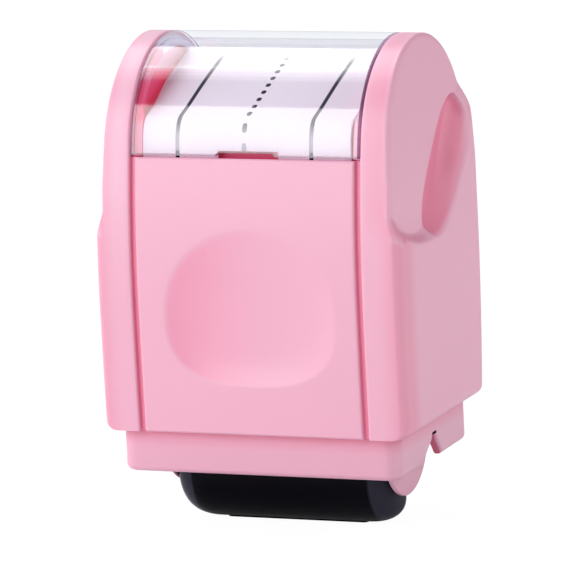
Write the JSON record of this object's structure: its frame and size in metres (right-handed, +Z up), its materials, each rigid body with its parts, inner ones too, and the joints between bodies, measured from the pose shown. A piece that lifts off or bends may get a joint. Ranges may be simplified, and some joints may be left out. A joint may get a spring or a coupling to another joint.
{
  "type": "handwriting line roller stamp",
  "caption": "Press-down roller stamp that prints handwriting guide lines, with a clear hinged lid over a card and a shutter that turns clear of its inked roller.",
  "frame": {"origin": "on the surface it stands on, under the middle of the stamp", "axes": "+Z up, +X along the stamping roller to the right as seen from the front, +Y from the front panel to the rear"},
  "size_m": [0.0572, 0.0426, 0.0887],
  "materials": {
    "pink_plastic": "satin moulded",
    "deep_pink_plastic": "satin moulded",
    "black_plastic": "gloss moulded",
    "clear_plastic": "clear polished",
    "white_plastic": "moulded",
    "card": "printed card",
    "rubber": "matt",
    "ink_foam": "inked foam",
    "steel": "plated"
  },
  "bodies": {
    "frame": {"inner_frame": "pink_plastic", "roller_axle": "steel", "rear_guard": "black_plastic", "ink_cartridge": "black_plastic", "left_stop_screw": "steel", "right_stop_screw": "steel"},
    "casing": {"front_panel": "pink_plastic", "rear_panel": "pink_plastic", "card_deck": "deep_pink_plastic", "label_card": "card", "left_side_shell": "pink_plastic", "left_hinge_pin": "steel", "left_rack": "white_plastic", "left_return_spring": "steel", "left_front_screw": "steel", "left_rear_screw": "steel", "right_side_shell": "pink_plastic", "right_hinge_pin": "steel", "right_rack": "white_plastic", "right_return_spring": "steel", "right_front_screw": "steel", "right_rear_screw": "steel"},
    "lid": {"window": "clear_plastic"},
    "shutter": {"shutter": "black_plastic", "left_pinion": "white_plastic", "right_pinion": "white_plastic"},
    "roller": {"roller_core": "white_plastic", "stamp_sleeve": "rubber", "left_grip_tyre": "rubber", "right_grip_tyre": "rubber"},
    "ink": {"ink_roller": "ink_foam", "ink_roller_axle": "steel"}
  },
  "joints": [
    {"name": "press", "type": "slide", "parent": "frame", "child": "casing", "axis": [0, 0, -1], "range_m": [0, 0.007], "stiffness_N_per_m": 400, "springref_m": -0.008, "deforming": ["left_return_spring", "right_return_spring"]},
    {"name": "shutter_swing", "type": "hinge", "parent": "frame", "child": "shutter", "pos_m": [0, 0, 0.01], "axis": [1, 0, 0], "range_deg": [0, 138.5]},
    {"name": "stamp_spin", "type": "hinge", "parent": "frame", "child": "roller", "pos_m": [0, 0, 0.01], "axis": [1, 0, 0], "continuous": true},
    {"name": "ink_spin", "type": "hinge", "parent": "frame", "child": "ink", "pos_m": [0, -0.01075, 0.01753], "axis": [1, 0, 0], "continuous": true},
    {"name": "window_swing", "type": "hinge", "parent": "casing", "child": "lid", "pos_m": [0, 0.01973, 0.0704], "axis": [-1, 0, 0], "range_deg": [0, 75]}
  ],
  "couplings": [
    {"joint": "shutter_swing", "follows": "press", "rad_per_m": 344.83},
    {"joint": "ink_spin", "follows": "stamp_spin", "ratio": -1.7747}
  ]
}
